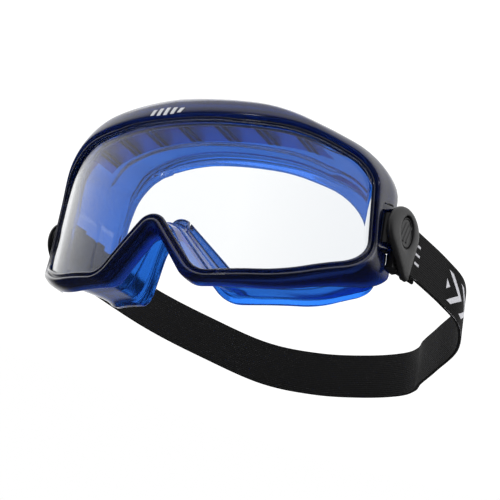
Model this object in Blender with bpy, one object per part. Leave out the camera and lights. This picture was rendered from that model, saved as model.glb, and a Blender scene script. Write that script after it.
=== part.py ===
"""Safety goggles: a wrap-round lens in a blue frame, a soft face skirt, vent baffles and a hinged
buckle on each side that carries an elastic head strap.

Metres, +Z up. The wearer looks along -Y, +X is the wearer's left, and the goggles stand on the lower
edge of the frame and of the strap. The shapes are worked out in millimetres in the wearer's frame,
whose origin is the top of the nose arch on the lens, and shift() carries them to the part's own.
"""

import bpy
import bmesh
import numpy as np
from math import cos, pi, radians, sin

MM = 0.001

# driving dimensions, in millimetres
LENS_RADIUS = 101.7        # the lens is bent to a cylinder with an upright axis
LENS_THICKNESS = 2.0
LENS_BITE = 2.8            # how far the lens edge reaches into its groove
GAP = 0.3                  # clearance between pieces that touch
LIP_THICKNESS = 1.6        # lips of the groove, before and behind the lens
FRAME_WALL = 2.2
FLOOR_Z = -30.8            # the level that the goggles stand on, below the top of the nose arch
CENTRE_X = 7.0             # middle of the whole object, which the strap's slack side makes lopsided
CENTRE_Y = 81.9
SKIRT_WALL = 1.6
SKIRT_OFFSET = 2.6         # from the lens opening to the skirt's outer surface, where there is room
FACE_Y = 40.0              # depth of the face at its middle, and how much deeper it is at FACE_X
FACE_SWEEP = 52.0
FACE_X = 80.0
NOSE_RISE = 17.0           # how far the bridge of the nose stands forward of the cheeks
HINGE_X = 87.6
HINGE_Y = 50.5
PIN_RADIUS = 1.2
STRAP_WIDTH = 23.0
STRAP_THICKNESS = 1.6
STRAP_LOW = -3.8           # lower edge of the strap where it leaves a buckle
BAR_U = 9.0                # strap bar, measured back from the hinge
BAR_W = -0.9
BAR_RADIUS = 1.2
YAW = {"left": 14.0, "right": -6.0}   # resting turn of each buckle about its hinge, outwards positive

# half outlines, seen from the front: corner x, corner z, corner radius, from the nose to the brow
OPENING = ((0, 3.4, 8.0), (24.5, -27.2, 9.0), (57, -21.8, 50.0), (83.2, -7.0, 15.0),
           (81.4, 35.5, 13.0), (57, 44.4, 60.0), (0, 44.0, 0.0))
OUTER = ((0, -6.0, 5.0), (18.5, -31.1, 9.0), (57, -28.2, 60.0), (88.0, -12.5, 15.0),
         (88.4, 42.0, 20.0), (46, 56.4, 80.0), (0, 58.2, 0.0))
FLANGE_OUT = ((0, -3.0, 5.0), (20.5, -28.0, 9.0), (54, -21.0, 30.0), (71.0, -8.5, 12.0),
              (72.5, 41.0, 20.0), (46, 49.5, 80.0), (0, 51.0, 0.0))
FLANGE_IN = ((0, 9.5, 7.0), (29, -21.0, 9.0), (54, -13.5, 25.0), (66.5, -2.0, 12.0),
             (67.0, 34.0, 20.0), (38, 40.4, 70.0), (0, 41.2, 0.0))
ARC_STEPS = 4
STRAIGHT_STEPS = 5


def clear_scene():
    for obj in list(bpy.data.objects):
        bpy.data.objects.remove(obj, do_unlink=True)


def material(name, colour, roughness, alpha=1.0):
    made = bpy.data.materials.new(name)
    made.use_nodes = True
    shader = made.node_tree.nodes["Principled BSDF"]
    shader.inputs["Base Color"].default_value = (*colour, 1.0)
    shader.inputs["Roughness"].default_value = roughness
    shader.inputs["Metallic"].default_value = 0.0
    shader.inputs["Alpha"].default_value = alpha
    return made


def shift(points):
    """Wearer's frame in millimetres to the part's frame in metres."""
    return (np.asarray(points, float) - (CENTRE_X, CENTRE_Y, FLOOR_Z)) * MM


def add_object(name, points, faces, paint, smooth=True):
    mesh = bpy.data.meshes.new(name)
    mesh.from_pydata([tuple(p) for p in shift(points)], [], faces)
    work = bmesh.new()
    work.from_mesh(mesh)
    bmesh.ops.remove_doubles(work, verts=work.verts, dist=1e-6)
    bmesh.ops.recalc_face_normals(work, faces=work.faces)
    work.to_mesh(mesh)
    work.free()
    mesh.materials.append(paint)
    if smooth:
        mesh.shade_smooth()
        mesh.set_sharp_from_angle(angle=radians(35))
    obj = bpy.data.objects.new(name, mesh)
    bpy.context.scene.collection.objects.link(obj)
    return obj


def add_boolean(target, other, operation):
    modifier = target.modifiers.new(operation.lower() + "_" + other.name, "BOOLEAN")
    modifier.operation = operation
    modifier.object = other
    other.hide_render = True
    other.display_type = "WIRE"


def lens_y(x):
    """Depth of the lens's front surface at a given x."""
    x = np.clip(x, -LENS_RADIUS + 1.0, LENS_RADIUS - 1.0)
    return LENS_RADIUS - np.sqrt(LENS_RADIUS**2 - x**2)


def face_y(x, z):
    """Depth of the wearer's face: swept back at the temples and forward at the bridge of the nose."""
    nose = np.exp(-((x / 15.0) ** 2)) * np.clip((30.0 - z) / 25.0, 0.0, 1.0)
    return FACE_Y + FACE_SWEEP * (x / FACE_X) ** 2 - NOSE_RISE * nose


def half_outline(corners):
    """Points along a half outline whose inner corners are rounded by arcs."""
    first = np.array(corners[0][:2], float)
    mirrored = np.array([-corners[1][0], corners[1][1]], float)
    spots = [mirrored, *[np.array(c[:2], float) for c in corners]]
    points = []
    last_end = None
    for i in range(1, len(spots) - 1):
        corner = spots[i]
        radius = corners[i - 1][2]
        before = (spots[i - 1] - corner) / np.linalg.norm(spots[i - 1] - corner)
        after = (spots[i + 1] - corner) / np.linalg.norm(spots[i + 1] - corner)
        half = np.arccos(np.clip(before @ after, -1, 1)) / 2
        reach = radius / np.tan(half)
        middle = corner + (before + after) / np.linalg.norm(before + after) * radius / np.sin(half)
        start = corner + before * reach - middle
        end = corner + after * reach - middle
        turn = np.arctan2(start[0] * end[1] - start[1] * end[0], start @ end)
        steps = np.linspace(0.5 if i == 1 else 0.0, 1.0, ARC_STEPS + 1)
        arc = [middle + (start * cos(t * turn) + np.array([-start[1], start[0]]) * sin(t * turn))
               for t in steps]
        if last_end is not None:
            points += [last_end + (arc[0] - last_end) * t
                       for t in np.linspace(0, 1, STRAIGHT_STEPS + 1)[1:-1]]
        points += arc
        last_end = arc[-1]
    top = spots[-1]
    points += [last_end + (top - last_end) * t for t in np.linspace(0, 1, STRAIGHT_STEPS + 2)[1:]]
    points = np.array(points)
    points[0, 0] = 0.0
    return points


def outline(corners):
    """The closed outline: the half and its mirror image, anticlockwise seen from the front (-Y)."""
    half = half_outline(corners)
    return np.vstack([half, (half * (-1, 1))[-2:0:-1]])


def outward(points):
    """Outward normals of a closed anticlockwise outline."""
    along = np.roll(points, -1, axis=0) - np.roll(points, 1, axis=0)
    along /= np.linalg.norm(along, axis=1, keepdims=True)
    return np.column_stack([along[:, 1], -along[:, 0]])


def moved_out(points, distance):
    """A closed outline moved outwards over the lens surface, where x is measured along the bend."""
    x, z = points.T
    bent = np.column_stack([LENS_RADIUS * np.arcsin(x / LENS_RADIUS), z])
    bent = bent + outward(bent) * distance
    return np.column_stack([LENS_RADIUS * np.sin(bent[:, 0] / LENS_RADIUS), bent[:, 1]])


def skirt_outside(opening, wall):
    """The skirt's outer surface, between the opening and the frame's inner wall."""
    room = np.linalg.norm(wall - opening, axis=1, keepdims=True)
    return opening + (wall - opening) * np.minimum(0.72, SKIRT_OFFSET / room)


def placed(points, depth, square=0.0):
    """Lays outline points on the lens surface and moves them back by depth: along the lens's own
    normal where square is 0, and straight back where it is 1."""
    x, z = points.T
    angle = np.arcsin(np.clip(x / LENS_RADIUS, -0.99, 0.99))
    back_x = -np.sin(angle) * (1 - square)
    back_y = np.cos(angle) * (1 - square) + square
    return np.column_stack([x + back_x * depth, lens_y(x) + back_y * depth, z])


def ring_solid(rings):
    """Faces that join closed rings of points into one closed tube."""
    count = len(rings[0])
    faces = []
    for k in range(len(rings)):
        a, b = k * count, (k + 1) % len(rings) * count
        for i in range(count):
            j = (i + 1) % count
            faces.append((a + i, a + j, b + j, b + i))
    return np.vstack(rings), faces


def box(name, paint, low, high, place=None):
    """A block between two corners, carried by place if one is given."""
    (x0, y0, z0), (x1, y1, z1) = low, high
    points = np.array([(x0, y0, z0), (x1, y0, z0), (x1, y1, z0), (x0, y1, z0),
                       (x0, y0, z1), (x1, y0, z1), (x1, y1, z1), (x0, y1, z1)], float)
    faces = [(0, 3, 2, 1), (4, 5, 6, 7), (0, 1, 5, 4), (1, 2, 6, 5), (2, 3, 7, 6), (3, 0, 4, 7)]
    return add_object(name, place(points) if place else points, faces, paint, smooth=False)


def upright_cylinder(name, paint, centre, radius, low, high, sides=20):
    angles = np.arange(sides) * 2 * pi / sides
    circle = np.column_stack([centre[0] + radius * np.cos(angles),
                              centre[1] + radius * np.sin(angles)])
    points = np.vstack([np.column_stack([circle, np.full(sides, z)]) for z in (low, high)])
    faces = [tuple(range(sides))[::-1], tuple(range(sides, 2 * sides))]
    faces += [(i, (i + 1) % sides, sides + (i + 1) % sides, sides + i) for i in range(sides)]
    return add_object(name, points, faces, paint)


def extruded(name, paint, flat, low, high, place):
    """A flat outline in (u, v) between two levels of w, carried by place."""
    count = len(flat)
    points = np.vstack([np.column_stack([flat, np.full(count, w)]) for w in (low, high)])
    faces = [tuple(range(count))[::-1], tuple(range(count, 2 * count))]
    faces += [(i, (i + 1) % count, count + (i + 1) % count, count + i) for i in range(count)]
    return add_object(name, place(points), faces, paint)


def make_lens(paint):
    """A bent sheet, in upright columns between its lower and its upper edge."""
    edge = moved_out(outline(OPENING), LENS_BITE)
    half = edge[: len(half_outline(OPENING))]
    widest = int(np.argmax(half[:, 0]))
    low, high = half[: widest + 1], half[widest:][::-1]
    x = np.unique(np.round(np.concatenate([low[:, 0], high[:, 0]]), 1))
    x[-1] = half[widest, 0]
    bottom = np.interp(x, low[:, 0], low[:, 1])
    top = np.interp(x, high[:, 0], high[:, 1])
    top[-1] = bottom[-1] = half[widest, 1]
    x = np.concatenate([-x[:0:-1], x])
    bottom = np.concatenate([bottom[:0:-1], bottom])
    top = np.concatenate([top[:0:-1], top])
    rows = [np.column_stack([x, bottom]), np.column_stack([x, (bottom + top) / 2]),
            np.column_stack([x, top])]
    points = [placed(row, depth) for depth in (0.0, LENS_THICKNESS) for row in rows]
    order = [points[0], points[1], points[2], points[5], points[4], points[3]]
    count = len(x)
    faces = []
    for k in range(6):
        a, b = k * count, (k + 1) % 6 * count
        faces += [(a + i, a + i + 1, b + i + 1, b + i) for i in range(count - 1)]
    faces.append(tuple(k * count for k in range(6)))
    faces.append(tuple(k * count + count - 1 for k in range(6))[::-1])
    return add_object("lens", np.vstack(order), faces, paint)


def sleeve_depth(points):
    """How far back the frame's outer wall reaches: far at the brow, little at the sides."""
    x, z = points.T
    middle = 1 - (x / 92.0) ** 2
    return 6.0 + 4.0 * middle + 12.0 * np.clip((z + 5.0) / 55.0, 0, 1) * middle


def make_front_frame(paint):
    """The rim with its lens groove, the shoulder round it and the wall that reaches back."""
    opening = outline(OPENING)
    shoulder = moved_out(opening, LENS_BITE + 0.8)
    outer = outline(OUTER)
    inner = outer - outward(outer) * FRAME_WALL
    back = sleeve_depth(outer)
    groove = moved_out(opening, LENS_BITE + GAP)
    rings = [placed(opening, -GAP - LIP_THICKNESS),
             placed(moved_out(opening, 2.6), -GAP - LIP_THICKNESS - 0.4)]
    for share, start, slope, square in ((0.14, -1.9, 0.0, 0.2), (0.42, -0.9, 0.02, 0.5),
                                        (0.70, -0.3, 0.1, 0.8), (0.91, 0.0, 0.25, 1.0)):
        rings.append(placed(shoulder + (outer - shoulder) * share, start + slope * back, square))
    rings += [placed(outer, back * 0.5, 1.0), placed(outer, back, 1.0), placed(inner, back, 1.0),
              placed(inner, back * 0.5 + 1.4, 1.0)]
    for share, start, slope, square in ((0.72, 4.1, 0.1, 1.0), (0.30, 4.3, 0.02, 0.6)):
        rings.append(placed(shoulder + (inner - shoulder) * share, start + slope * back, square))
    rear = LENS_THICKNESS + GAP
    rings += [placed(moved_out(opening, 1.0), rear + LIP_THICKNESS),
              placed(moved_out(opening, 1.0), rear), placed(groove, rear), placed(groove, -GAP),
              placed(opening, -GAP)]
    frame = add_object("front_frame", *ring_solid(rings), paint)
    for side in ("left", "right"):
        s = sign(side)
        ends = sorted((s * 75.0, s * 99.0))
        room = box("buckle_room_" + side, paint, (ends[0], HINGE_Y - 4.2, STRAP_LOW - 3.3),
                   (ends[1], HINGE_Y + 30, LUG_LEVELS[1][1] + 2.6))
        add_boolean(frame, room, "DIFFERENCE")
        for low, high in LUG_LEVELS:
            add_boolean(frame, make_lug(side, low, high, paint), "UNION")
            hole = upright_cylinder("pin_hole_%s_%g" % (side, low), paint, hinge(side),
                                    PIN_RADIUS + GAP, low - 1, high + 1)
            add_boolean(frame, hole, "DIFFERENCE")
    return frame


LUG_LEVELS = ((0.5, 3.5), (18.5, 21.5))
KNUCKLE = (3.9, 18.1)


def sign(side):
    return 1.0 if side == "left" else -1.0


def hinge(side):
    return np.array([sign(side) * HINGE_X, HINGE_Y])


def make_lug(side, low, high, paint):
    """A tongue that runs back from the side wall and holds one end of the hinge pin."""
    reach = np.linspace(-pi / 2, pi / 2, 9)
    nose = np.column_stack([HINGE_Y + 3.2 * np.cos(reach), HINGE_X + 3.2 * np.sin(reach)])
    root = np.array([(HINGE_Y - 5.5, HINGE_X - 0.9), (HINGE_Y - 4.6, HINGE_X - 3.6)])
    flat = np.vstack([nose, root])

    def place(points):
        return np.column_stack([points[:, 1] * sign(side), points[:, 0], points[:, 2]])

    return extruded("lug_%s_%g" % (side, low), paint, flat, low, high, place)


def make_face_skirt(paint):
    """The soft wall behind the lens and the flange that seals against the face."""
    opening = outline(OPENING)
    outer = outline(OUTER)
    outside = skirt_outside(opening, outer - outward(outer) * FRAME_WALL)
    inside = outside - outward(outside) * SKIRT_WALL
    out_edge = outline(FLANGE_OUT)
    in_edge = outline(FLANGE_IN)
    start = LENS_THICKNESS + 2 * GAP + LIP_THICKNESS + 0.9
    closing = 0.3 + 0.3 * (outside[:, :1] / FACE_X) ** 2   # the wall closes in most at the temples

    def at_face(points, forward):
        x, z = points.T
        return np.column_stack([x, face_y(x, z) - forward, z])

    rings = [placed(inside, start, 0.6), placed(outside, start + 0.8, 0.9),
             at_face(outside + (in_edge - outside) * closing, 6.0),
             at_face(outside + (out_edge - outside) * 0.9, 2.6), at_face(out_edge, 1.6),
             at_face(out_edge, 0.2), at_face((out_edge + in_edge) / 2, 0.0),
             at_face(in_edge, 1.4), at_face(in_edge, 2.6),
             at_face(in_edge + (inside - in_edge) * 0.5, 3.2),
             at_face(inside + (in_edge - inside) * (closing + 0.06), 7.5)]
    skirt = add_object("face_skirt", *ring_solid(rings), paint)
    for side in (-1, 1):
        low, high = sorted((side * 4.0, side * 5.2))
        slit = box("nose_slit_%d" % side, paint, (low, 8.0, 0.8), (high, 40.0, 20.0))
        add_boolean(skirt, slit, "DIFFERENCE")
    return skirt


def comb(name, paint, along, ribs, bottom, top, depths):
    """A curved strip with ribs standing on it. along gives the strip's (x, z) points, ribs says which
    stretches stand up, and bottom and top are distances out from it."""
    normal = np.gradient(along, axis=0)
    normal /= np.linalg.norm(normal, axis=1, keepdims=True)
    normal = np.column_stack([-normal[:, 1], normal[:, 0]])
    count = len(along)
    levels = [along + normal * d for d in (bottom, bottom + 1.2, top[:, None])]
    points = [placed(level, depth, 1.0) for depth in depths for level in levels]

    def at(front, level, i):
        return (front * 3 + level) * count + i

    faces = []
    for i in range(count - 1):
        height = 2 if ribs[i] else 1
        for level in range(height):
            faces.append((at(0, level, i), at(0, level, i + 1), at(0, level + 1, i + 1),
                          at(0, level + 1, i)))
            faces.append((at(1, level, i), at(1, level + 1, i), at(1, level + 1, i + 1),
                          at(1, level, i + 1)))
        faces.append((at(0, 0, i), at(1, 0, i), at(1, 0, i + 1), at(0, 0, i + 1)))
        faces.append((at(0, height, i), at(0, height, i + 1), at(1, height, i + 1),
                      at(1, height, i)))
    for i, level in [(0, 0), (count - 1, 0)]:
        faces.append((at(0, level, i), at(0, level + 1, i), at(1, level + 1, i), at(1, level, i)))
    for i in range(1, count - 1):
        if ribs[i] != ribs[i - 1]:
            faces.append((at(0, 1, i), at(0, 2, i), at(1, 2, i), at(1, 1, i)))
    return add_object(name, np.vstack(points), faces, paint, smooth=False)


def rib_stations(low, high, centres, width):
    """Positions along a strip with both edges of each rib among them, and which stretches are ribs."""
    edges = [low]
    ribs = []
    for centre in centres:
        edges += [centre - width / 2, centre + width / 2]
        ribs += [False, True]
    edges.append(high)
    ribs.append(False)
    return np.array(edges), ribs


RIB_PITCH = 18.5           # along the bend of the lens
RIB_SPLIT = 3.2


def rib_pairs(each_side):
    """Ribs stand in pairs, RIB_SPLIT apart, one pair at each pitch on both sides of the middle."""
    middles = LENS_RADIUS * np.sin(RIB_PITCH / LENS_RADIUS * np.arange(-each_side, each_side + 1))
    return sorted(m + d for m in middles for d in (-RIB_SPLIT / 2, RIB_SPLIT / 2))


def make_upper_baffle(paint):
    """The vent strip that lies on the skirt under the brow, with pairs of ribs across it."""
    opening = outline(OPENING)
    outer = outline(OUTER)
    edge = skirt_outside(opening, outer - outward(outer) * FRAME_WALL)
    half = edge[: len(half_outline(OPENING))]
    upper = half[int(np.argmax(half[:, 0])):][::-1]
    stations, ribs = rib_stations(-60.0, 60.0, rib_pairs(3), 1.2)
    z = np.interp(np.abs(stations), upper[:, 0], upper[:, 1])
    wall = half_outline(OUTER)
    wall = wall[int(np.argmax(wall[:, 0])):][::-1]
    room = np.interp(np.abs(stations), wall[:, 0], wall[:, 1]) - FRAME_WALL - z
    return comb("upper_vent_baffle", paint, np.column_stack([stations, z]), ribs, 0.5,
                np.minimum(6.2, 0.85 * room), (8.5, 27.0))


def buckle_frame(side):
    """Carries buckle points (u back from the hinge, v up, w outwards) to the wearer's frame."""
    yaw = radians(YAW[side])
    s = sign(side)
    back = np.array([s * sin(yaw), cos(yaw), 0])
    out = np.array([s * cos(yaw), -sin(yaw), 0])
    corner = np.array([*hinge(side), 0])

    def place(points):
        u, v, w = np.asarray(points, float).T
        return corner + u[:, None] * back + w[:, None] * out + v[:, None] * (0, 0, 1)

    return place


def teardrop(inset=0.0):
    """Round top, straight flanks that close towards a small round foot."""
    head, foot = np.array([6.8, 12.2]), np.array([11.6, -7.2])
    big, small = 11.4 - inset, 2.6 - inset
    run = foot - head
    reach = np.linalg.norm(run)
    course = np.arctan2(run[1], run[0])
    open_by = np.arccos((big - small) / reach)
    arcs = []
    for centre, radius, start, stop, steps in (
        (head, big, course + open_by, course + 2 * pi - open_by, 20),
        (foot, small, course - open_by, course + open_by, 6),
    ):
        angles = np.linspace(start, stop, steps)
        arcs.append(centre + radius * np.column_stack([np.cos(angles), np.sin(angles)]))
    return np.vstack(arcs)


def oval(centre, width, height, steps=20):
    angles = np.arange(steps) * 2 * pi / steps
    return centre + np.column_stack([width / 2 * np.cos(angles), height / 2 * np.sin(angles)])


RECESS_CENTRE = np.array([7.8, 12.0])
RECESS_WIDTH, RECESS_HEIGHT = 9.6, 15.6


def make_buckle_cover(side, paint):
    """The outer shell: a teardrop plate with an oval recess."""
    place = buckle_frame(side)
    cover = extruded("buckle_cover_" + side, paint, teardrop(), 3.7, 5.6, place)
    cut = extruded("recess_" + side, paint, oval(RECESS_CENTRE, RECESS_WIDTH, RECESS_HEIGHT), 4.6,
                   8.0, place)
    add_boolean(cover, cut, "DIFFERENCE")
    bevel = cover.modifiers.new("edge", "BEVEL")
    bevel.width = 0.5 * MM
    bevel.segments = 1
    bevel.limit_method = "ANGLE"
    bevel.angle_limit = radians(60)
    return cover


def make_buckle_badge(side, paint):
    """The plain oval inlay in the recess."""
    flat = oval(RECESS_CENTRE, RECESS_WIDTH - 2 * GAP, RECESS_HEIGHT - 2 * GAP)
    return extruded("buckle_badge_" + side, paint, flat, 4.9, 5.4, buckle_frame(side))


def make_buckle_base(side, paint):
    """The inner moulding: a hinge knuckle, a back plate, two cheeks and the bar for the strap."""
    place = buckle_frame(side)
    low, high = STRAP_LOW - 0.6, STRAP_LOW + STRAP_WIDTH + 0.6
    plate = teardrop(1.0)
    base = extruded("buckle_base_" + side, paint, plate, 2.5, 3.4, place)
    parts = [box("cheek_low_" + side, paint, (3.6, low - 1.4, -2.6), (11.5, low, 3.0), place),
             box("cheek_high_" + side, paint, (3.6, high, -2.6), (11.5, high + 1.4, 3.0), place),
             box("web_" + side, paint, (0.3, KNUCKLE[0] + 0.2, 0.1), (4.4, KNUCKLE[1] - 0.2, 3.1),
                 place)]
    bar = place([(BAR_U, 0, BAR_W)])[0]
    parts.append(upright_cylinder("bar_" + side, paint, bar[:2], BAR_RADIUS, low - 1.0, high + 1.0,
                                  12))
    parts.append(box("rail_" + side, paint, (3.9, low - 1.1, 0.5), (5.4, high + 1.1, 2.9), place))
    parts.append(upright_cylinder("knuckle_" + side, paint, hinge(side), 2.7, *KNUCKLE))
    for part in parts:
        add_boolean(base, part, "UNION")
    bore = upright_cylinder("bore_" + side, paint, hinge(side), PIN_RADIUS + GAP, KNUCKLE[0] - 1,
                            KNUCKLE[1] + 1)
    add_boolean(base, bore, "DIFFERENCE")
    for level, (a, b) in enumerate(LUG_LEVELS):
        room = upright_cylinder("lug_room_%s_%d" % (side, level), paint, hinge(side), 3.9,
                                a - 0.4, b + 0.4)
        add_boolean(base, room, "DIFFERENCE")
    return base


def make_hinge_pin(side, paint):
    """A pin through both lugs, with a round head on top."""
    x, y = hinge(side)
    low, high = LUG_LEVELS[0][0] - 0.6, LUG_LEVELS[1][1] + 0.3
    profile = [(PIN_RADIUS * 0.7, low - 0.4), (PIN_RADIUS, low), (PIN_RADIUS, high),
               (PIN_RADIUS + 0.8, high), (PIN_RADIUS + 0.8, high + 0.8),
               (PIN_RADIUS + 0.3, high + 1.2)]
    sides = 16
    angles = np.arange(sides) * 2 * pi / sides
    rings = [np.column_stack([x + r * np.cos(angles), y + r * np.sin(angles),
                              np.full(sides, z)]) for r, z in profile]
    points = np.vstack(rings)
    faces = [tuple(range(sides))[::-1]]
    for k in range(len(profile) - 1):
        faces += [(k * sides + i, k * sides + (i + 1) % sides, (k + 1) * sides + (i + 1) % sides,
                   (k + 1) * sides + i) for i in range(sides)]
    faces.append(tuple((len(profile) - 1) * sides + i for i in range(sides)))
    return add_object("hinge_pin_" + side, points, faces, paint)


# the strap between the buckles: x, y and the height of its lower edge
STRAP_ROUTE = ((101.5, 90.5, -9.2), (106.8, 102.0, -15.6), (102.5, 115.0, -22.6),
               (88.5, 128.0, -28.2), (77.0, 140.0, -30.8), (69.5, 152.0, -30.8),
               (58.5, 160.5, -30.8), (38.0, 165.0, -30.8), (10.0, 163.5, -30.4),
               (-18.0, 155.0, -27.6), (-45.0, 137.0, -20.0), (-69.0, 112.0, -12.0))
TAIL = {"left": 19.0, "right": 17.0}   # how far each folded end runs back from its bar


def smooth_path(points, steps):
    """A Catmull-Rom curve through the points."""
    points = np.asarray(points, float)
    padded = np.vstack([2 * points[0] - points[1], points, 2 * points[-1] - points[-2]])
    made = []
    for a, b, c, d in zip(padded, padded[1:], padded[2:], padded[3:]):
        for t in np.arange(steps) / steps:
            made.append(0.5 * (2 * b + (c - a) * t + (2 * a - 5 * b + 4 * c - d) * t**2
                               + (3 * b - a - 3 * c + d) * t**3))
    made.append(points[-1])
    return np.array(made)


def strap_end(side):
    """From the folded end forwards, round the bar and out again on the buckle's outer side."""
    place = buckle_frame(side)
    lap = BAR_RADIUS + GAP + STRAP_THICKNESS / 2
    tail = TAIL[side]
    inner = [(BAR_U + u, BAR_W - lap) for u in (tail, tail * 0.6, tail * 0.25)]
    angles = np.linspace(-pi / 2, -3 * pi / 2, 9)
    fold = [(BAR_U + lap * cos(a), BAR_W + lap * sin(a)) for a in angles]
    outer = [(BAR_U + 3.0, BAR_W + lap), (BAR_U + 7.0, BAR_W + lap * 0.95),
             (BAR_U + 12.0, BAR_W + lap * 0.8)]
    flat = np.array([(u, STRAP_LOW, w) for u, w in inner + fold + outer])
    return place(flat)


def make_head_strap(paint):
    """One elastic band, folded round the bar of each buckle and drooping to the surface behind."""
    left, right = strap_end("left"), strap_end("right")[::-1]
    run = smooth_path(np.vstack([left[-1:], STRAP_ROUTE, right[:1]]), 4)
    path = np.vstack([left[:-1], run, right[1:]])
    path[:, 2] = np.maximum(path[:, 2], FLOOR_Z)
    along = np.gradient(path[:, :2], axis=0)
    along /= np.linalg.norm(along, axis=1, keepdims=True)
    side = np.column_stack([along[:, 1], -along[:, 0]]) * STRAP_THICKNESS / 2
    rings = []
    for point, (sx, sy) in zip(path, side):
        x, y, low = point
        high = low + STRAP_WIDTH
        rings.append([(x - sx, y - sy, low), (x + sx, y + sy, low), (x + sx, y + sy, high),
                      (x - sx, y - sy, high)])
    points = np.array(rings).reshape(-1, 3)
    faces = [(0, 3, 2, 1)]
    for k in range(len(rings) - 1):
        a, b = 4 * k, 4 * k + 4
        faces += [(a + i, a + (i + 1) % 4, b + (i + 1) % 4, b + i) for i in range(4)]
    last = 4 * (len(rings) - 1)
    faces.append((last, last + 1, last + 2, last + 3))
    return add_object("head_strap", points, faces, paint)


clear_scene()
FRAME_BLUE = material("translucent navy PVC", (0.01, 0.02, 0.22), 0.15, 0.9)
SKIRT_BLUE = material("translucent blue PVC", (0.05, 0.16, 0.62), 0.25, 0.8)
CLEAR = material("clear polycarbonate", (0.9, 0.93, 0.95), 0.03, 0.15)
CHARCOAL = material("charcoal nylon", (0.05, 0.05, 0.055), 0.45)
BLACK = material("black acetal", (0.01, 0.01, 0.01), 0.35)
ELASTIC = material("black knitted elastic", (0.008, 0.008, 0.009), 0.9)

make_lens(CLEAR)
make_front_frame(FRAME_BLUE)
make_face_skirt(SKIRT_BLUE)
make_upper_baffle(SKIRT_BLUE)
for SIDE in ("left", "right"):
    make_hinge_pin(SIDE, BLACK)
    make_buckle_base(SIDE, BLACK)
    make_buckle_cover(SIDE, CHARCOAL)
    make_buckle_badge(SIDE, BLACK)
make_head_strap(ELASTIC)
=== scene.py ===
"""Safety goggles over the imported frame: lens, front frame, face skirt, vent ribs, hinges, buckles and
head strap, in the order in which they go together.

Lengths are millimetres in the wearer's frame: its origin is the top of the nose arch on the lens, +X is
the wearer's left, +Y is back and +Z up. to_frame() carries them to the frame of the CAD, in metres.
"""

import bmesh
import bpy
import numpy as np
from mathutils import Matrix


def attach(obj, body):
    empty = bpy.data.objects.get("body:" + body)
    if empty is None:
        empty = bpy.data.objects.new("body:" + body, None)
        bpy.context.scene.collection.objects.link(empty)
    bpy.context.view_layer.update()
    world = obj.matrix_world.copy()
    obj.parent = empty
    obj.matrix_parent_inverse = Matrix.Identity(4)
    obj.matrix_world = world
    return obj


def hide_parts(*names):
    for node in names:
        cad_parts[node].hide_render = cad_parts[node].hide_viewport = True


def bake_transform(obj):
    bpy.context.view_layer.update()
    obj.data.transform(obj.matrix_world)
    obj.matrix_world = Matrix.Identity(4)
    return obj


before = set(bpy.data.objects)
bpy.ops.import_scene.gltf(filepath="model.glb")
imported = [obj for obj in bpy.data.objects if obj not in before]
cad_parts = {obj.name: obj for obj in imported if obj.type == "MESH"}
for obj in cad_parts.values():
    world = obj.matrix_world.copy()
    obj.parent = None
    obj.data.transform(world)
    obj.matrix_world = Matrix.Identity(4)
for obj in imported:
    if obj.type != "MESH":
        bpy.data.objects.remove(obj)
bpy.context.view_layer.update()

# ---- Lens ---------------------------------------------------------------------------------------
# One sheet of clear polycarbonate, 2 mm thick, bent round an upright axis and trimmed with a nose
# arch. It is pressed into the groove all round the frame, so that its cut edge stays out of sight.
CAD_ORIGIN = np.array([7.0, 81.9, -30.8])
LENS_RADIUS = 101.7
LENS_THICKNESS = 2.0
LENS_BITE = 2.8
# half outline from the nose to the brow: corner x, corner z, corner radius
OPENING = ((0, 3.4, 8.0), (24.5, -27.2, 9.0), (57, -21.8, 50.0), (83.2, -7.0, 15.0),
           (81.4, 35.5, 13.0), (57, 44.4, 60.0), (0, 44.0, 0.0))
ARC_STEPS = 9
STRAIGHT_STEPS = 11
LENS_MIDDLE = np.array([0.0, 20.0])
LENS_ROUNDS = np.linspace(0.04, 1, 25)


def to_frame(points):
    """Wearer's millimetres to the CAD's metres: moved by CAD_ORIGIN and scaled."""
    return (np.asarray(points, float) - CAD_ORIGIN) * 0.001


def outline(corners):
    """A closed outline, anticlockwise from the front: each corner gives way to the arc of its radius
    that touches both its sides, each straight run is cut evenly, and the half is mirrored in x."""
    spots = np.array([(-corners[1][0], corners[1][1]), *[c[:2] for c in corners]], float)
    pieces = []
    for i in range(1, len(spots) - 1):
        corner, radius = spots[i], corners[i - 1][2]
        before = (spots[i - 1] - corner) / np.linalg.norm(spots[i - 1] - corner)
        after = (spots[i + 1] - corner) / np.linalg.norm(spots[i + 1] - corner)
        half = np.arccos(np.clip(before @ after, -1, 1)) / 2
        middle = corner + (before + after) / np.linalg.norm(before + after) * radius / np.sin(half)
        start = corner + before * radius / np.tan(half) - middle
        end = corner + after * radius / np.tan(half) - middle
        turn = np.arctan2(start[0] * end[1] - start[1] * end[0], start @ end)
        share = np.linspace(0.5 if i == 1 else 0.0, 1.0, ARC_STEPS + 1)[:, None] * turn
        arc = middle + start * np.cos(share) + np.array([-start[1], start[0]]) * np.sin(share)
        if pieces:
            run = np.linspace(0, 1, STRAIGHT_STEPS + 1)[1:-1, None]
            pieces.append(pieces[-1][-1] + (arc[0] - pieces[-1][-1]) * run)
        pieces.append(arc)
    run = np.linspace(0, 1, STRAIGHT_STEPS + 2)[1:, None]
    pieces.append(pieces[-1][-1] + (spots[-1] - pieces[-1][-1]) * run)
    half_line = np.vstack(pieces)
    half_line[0, 0] = 0.0
    return np.vstack([half_line, (half_line * (-1, 1))[-2:0:-1]])


def outward(points):
    """Unit normals of a closed anticlockwise outline, from the chord between each point's neighbours."""
    along = np.roll(points, -1, axis=0) - np.roll(points, 1, axis=0)
    along /= np.linalg.norm(along, axis=1, keepdims=True)
    return np.column_stack([along[:, 1], -along[:, 0]])


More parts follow.
